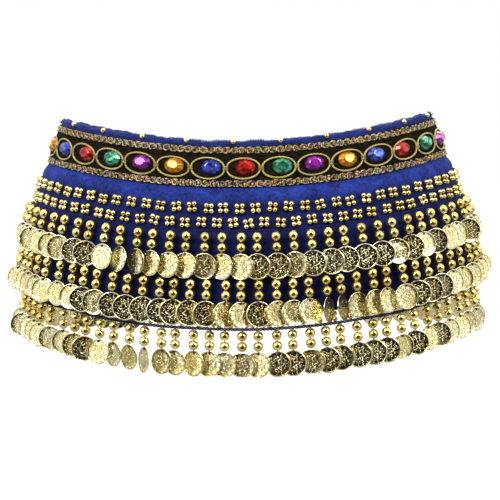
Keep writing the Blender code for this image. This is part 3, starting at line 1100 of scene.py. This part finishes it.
# %% [markdown]
# ## Coins and beads
# The coin starts as a flat disc. Insets give it a lip, a field and a boss, and small moves raise or sink
# each ring. It is only a fraction of a millimetre thick, so the back follows the front.

# %% Coin shape
COIN_THICKNESS = 0.45 * MM
COIN_RINGS = ((1.0, 0.0), (0.985, 0.12), (0.95, 0.14), (0.91, 0.0), (0.55, 0.04), (0.25, 0.10))


def coin_template():
    """A stamped coin about the origin, facing z."""
    bm = bmesh.new()
    bmesh.ops.create_circle(bm, cap_ends=True, segments=28, radius=COIN / 2)
    face = bm.faces[:][0]
    for (outer, height), (inner, next_height) in zip(COIN_RINGS, COIN_RINGS[1:]):
        bmesh.ops.inset_individual(bm, faces=[face], thickness=(outer - inner) * COIN / 2, depth=0)
        for vert in face.verts:
            vert.co.z = next_height * MM
    bmesh.ops.recalc_face_normals(bm, faces=bm.faces)
    bmesh.ops.solidify(bm, geom=bm.faces[:], thickness=COIN_THICKNESS)
    bmesh.ops.recalc_face_normals(bm, faces=bm.faces)
    write_uv(bm, lambda co: (co.x / COIN + 0.5, co.y / COIN + 0.5))
    return template_of(bm)


coin_shape = coin_template()
bead_shape = bead_template(BEAD, 9, 16)
print("coin", len(coin_shape.polygons), "faces, bead", len(bead_shape.polygons))

# %% One drop
HOLE_IN = 1.9 * MM


def drop_poses(spot, level, foot, root_out, bead_out, swing, lean, yaw, tilt):
    """Poses of the two beads and the coin, and the path of the thread, of one drop."""
    turn = turn_at(spot, level)
    out = outwards(turn)
    along = UP.cross(out)

    def centre(below):
        hang = max(below, 0)
        stand = bead_out + lean * hang if hang else root_out
        return place(turn, foot + below, stand) + along * (swing * hang)

    beads = []
    for number in range(2):
        middle = centre((number + 0.5) * BEAD)
        hang = (centre((number + 1) * BEAD) - centre(number * BEAD + 0.1 * MM)).normalized()
        beads.append(Matrix.Translation(middle) @ hang.to_track_quat("-Z", "Y").to_matrix().to_4x4())
    middle = centre(2 * BEAD + COIN / 2)
    hang = (centre(2 * BEAD + COIN) - centre(2 * BEAD)).normalized()
    rise = (-hang + UP * 0.6).normalized()
    flat = (along * math.cos(yaw) + out * math.sin(yaw)).normalized()
    face = flat.cross(rise).normalized()
    rise = face.cross(flat).normalized()
    turned = Matrix((flat, rise, face)).transposed().to_4x4() @ Matrix.Rotation(tilt, 4, "X")
    coin = Matrix.Translation(middle) @ turned
    thread = [centre(-0.6 * MM), centre(0.4 * MM), centre(BEAD), centre(2 * BEAD + 0.2 * MM)]
    hole = coin @ Vector((0, COIN / 2 - HOLE_IN, 0))
    through = hole + (hang * 0.4 - face * 0.6) * MM
    loop = [thread[-1], hole + face * MM, through, hole - (face + hang) * 1.2 * MM]
    return beads, coin, [thread, loop]


# %% Rows of drops
COIN_TILT = 0.09
CHAIN_STEP = 0.9 * MM

coin_hole_shade_poses = []
tilts = random.Random(3)
for name, level, count, seed in ROWS:
    chance = random.Random(seed)
    on_cord = level == CORD_LEVEL
    height = CORD_HEIGHT if on_cord else CHAIN_HEIGHT
    inner = -(CLOTH + height) / 2 if on_cord else 0.3 * MM
    middle = inner + height / 2
    spots = drop_spots(level, count, chance)
    hung = coin_turns(spots, chance)
    beads, coins, threads = [], [], []
    for spot, (swing, lean, yaw) in zip(spots, hung):
        bead_out = middle if on_cord else BEAD_STAND
        tilt = tilts.uniform(-COIN_TILT, COIN_TILT)
        found = drop_poses(spot, level, level + height, middle, bead_out, swing, lean, yaw, tilt)
        beads += found[0]
        coins.append(found[1])
        threads += found[2]
        coin_hole_shade_poses.append(found[1] @ Matrix.Translation((0, COIN / 2 - HOLE_IN, 0)))
    make_piece(name + "_beads", copies(bead_shape, beads), [BEAD_GOLD], [name])
    make_piece(name + "_coins", copies(coin_shape, coins), [COIN_GOLD], [name])
    make_piece(name + "_threads", thread_mesh(threads, 0.3 * MM, roundness=0), [DARK_YARN], [name])
    if on_cord:
        hem_spots = spots
        continue
    chains = []
    for phase in (0, math.pi):
        chain = []
        for step, distance in enumerate(along_ring(level, CHAIN_STEP)):
            drop = level + height / 2 + 0.45 * MM * math.sin(step * 0.55 + phase)
            chain.append(at(distance, drop, (0.1 + 0.12 * math.cos(step * 1.1 + phase)) * MM))
        chains.append(chain)
    make_piece(name + "_chain", thread_mesh(chains, 0.22 * MM, roundness=0), [BLUE_YARN], [name])
# Painted shade: a dark disc in the hole of each coin.
bm = copies(disc_template(8, 0.9 * MM, 0.9 * MM, 0.9 * MM), coin_hole_shade_poses)
make_piece("coin_hole_shades", bm, [HOLE_SHADE], smooth=False)

# %% [markdown]
# ## The hem cord
# Below the hem runs a cord of two twisted navy yarns. It hangs from the hem by small netting threads, and
# every gap between two drops holds one bead square.

# %% Hem cord
CORD_OUT = -CLOTH / 2
CORD_STEP = 0.8 * MM
CORD_TWIST = 5.6 * MM

strands = []
for phase in (0, math.pi):
    strand = []
    for step, distance in enumerate(along_ring(CORD_LEVEL, CORD_STEP)):
        turned = cycles(step * CORD_STEP, CORD_TWIST) + phase
        drop = CORD_LEVEL + CORD_HEIGHT / 2 + 0.8 * MM * math.sin(turned)
        strand.append(at(distance, drop, CORD_OUT + 0.5 * MM * math.cos(turned)))
    strands.append(strand)
make_piece("hem_cord", thread_mesh(strands, 0.66 * MM), [DARK_YARN], ["drops_hem"])

# %% Netting and squares
chance = random.Random(29)
square_poses, net = [], []
for left, right in zip(hem_spots, hem_spots[1:]):
    distance = (left + right) / 2
    drop = (HEM + CORD_LEVEL) / 2 + 0.2 * MM
    square_poses += square_of_beads(distance, drop, CORD_OUT, chance)
    ends = ((3.4 * MM, HEM - 0.8 * MM), (2.2 * MM, drop), (3.4 * MM, CORD_LEVEL + CORD_HEIGHT / 2))
    for side in (-1, 1):
        net.append([at(distance + side * aside, level, CORD_OUT) for aside, level in ends])
make_piece("hem_squares", copies(small_bead, square_poses), [SMALL_GOLD], ["drops_hem"])
make_piece("hem_net", thread_mesh(net, 0.28 * MM, roundness=0), [DARK_YARN], ["drops_hem"])

# %% [markdown]
# ## Straps at the back
# The photo shows only the front. Scarves of this kind are open at the back and tied with two bands of the
# same velvet. A band lies flat where it is sewn to the panel, and its pleats grow towards the knot.

# %% Straps
STRAP_TOP = 6 * MM
STRAP_FOOT = 30 * MM
STRAP_END = 12.35 * MM
KNOT_LEVEL = 18 * MM
KNOT_HALF = Vector((13, 8, 11)) * MM
KNOT_STAND = 7 * MM
TAIL_LENGTH = 122 * MM
TAIL_HALF = 10 * MM
TAIL_SPLAY = 17 * MM
TAIL_STAND = 3 * MM


def strap_point(side):
    def point(x, y):
        share = (x + 1) / 2
        edge = STRAP_TOP + (STRAP_FOOT - STRAP_TOP) * y
        gap = half_round(round(edge, 4)) - panel_reach(edge) - 0.5 * MM
        distance = gap + (STRAP_END - 2.5 * MM - gap) * share
        level = edge + (KNOT_LEVEL - edge) * 0.45 * share
        pleat = 0.9 * MM * share * math.sin(y * 5 * math.pi + 0.4) + 0.3 * MM * math.sin(share * 5 + y * 3)
        return at_back(side * distance, level, KNOT_STAND * 0.5 * share**2 + pleat)

    return point


def tail_point(side):
    def point(x, y):
        level = KNOT_LEVEL + KNOT_HALF.z - 1.5 * MM + (TAIL_LENGTH + 1.5 * MM) * y
        narrow = 1 - 0.35 * math.exp(-y * 9)
        centre = TAIL_HALF + 0.3 * MM + TAIL_SPLAY * y
        ripple = 1.1 * MM * math.sin(3.0 * math.pi * y + side) * (0.4 + y)
        pleat = 1.0 * MM * math.exp(-y * 5) * math.sin(x * 7) + 0.6 * MM * math.sin(x * 2.4 + y * 4)
        distance = side * (centre - x * TAIL_HALF * narrow)
        return at_back(distance, level, TAIL_STAND + ripple + pleat + 1.6 * MM)

    return point


for side, word in ((-1, "left"), (1, "right")):
    for kind, point_of, size, node in (
        ("strap", strap_point, (36, 28), f"strap_{word}"),
        ("tail", tail_point, (16, 80), f"strap_tail_{word}"),
    ):
        bm = sheet(*size, point_of(side))
        if (side > 0) == (kind == "strap"):
            bmesh.ops.reverse_faces(bm, faces=bm.faces)
        band = make_piece(f"{kind}_band_{word}", bm, [VELVET, BACKING], [node])
        give_thickness(band, WALL, 1)

# %% [markdown]
# ## The knot
# The two bands cross and one wraps over the other. A ball with deep flowing grooves reads as the bundled
# cloth, and a short band bent over its middle is the wrap.

# %% Knot
KNOT_PLACE = place(math.pi, KNOT_LEVEL, KNOT_STAND)

bm = bmesh.new()
bmesh.ops.create_uvsphere(bm, u_segments=48, v_segments=28, radius=1)
for vert in bm.verts:
    x, y, z = vert.co
    groove = 0.07 * math.sin(z * 9 + 2.2 * x * x * math.copysign(1, x)) * (1 - abs(z) ** 3)
    vert.co *= 0.93 + groove
    vert.co = KNOT_PLACE + vert.co * KNOT_HALF
make_piece("knot_bundle", bm, [VELVET], ["knot"])

# %% Wrap
WRAP_HALF_WIDTH = 6.4 * MM
WRAP_SKEW = 1.8 * MM
WRAP_DEPTH = 9.0 * MM
WRAP_HEIGHT = 12.0 * MM
WRAP_CLOSE = 0.98


def wrap_point(x, y):
    angle = -0.62 * math.pi + 1.24 * math.pi * y
    crown = 1.0 + 0.05 * math.cos(x * math.pi / 2) + 0.03 * math.sin(x * 8 + y * 3)
    aside = x * WRAP_HALF_WIDTH + WRAP_SKEW * math.sin(angle)
    lift = Vector((aside, WRAP_DEPTH * math.cos(angle) * crown, -WRAP_HEIGHT * math.sin(angle) * crown))
    return KNOT_PLACE + lift * WRAP_CLOSE


bm = sheet(14, 30, wrap_point)
bmesh.ops.reverse_faces(bm, faces=bm.faces)
wrap = make_piece("knot_wrap", bm, [VELVET, BACKING], ["knot"])
give_thickness(wrap, WALL, 1)
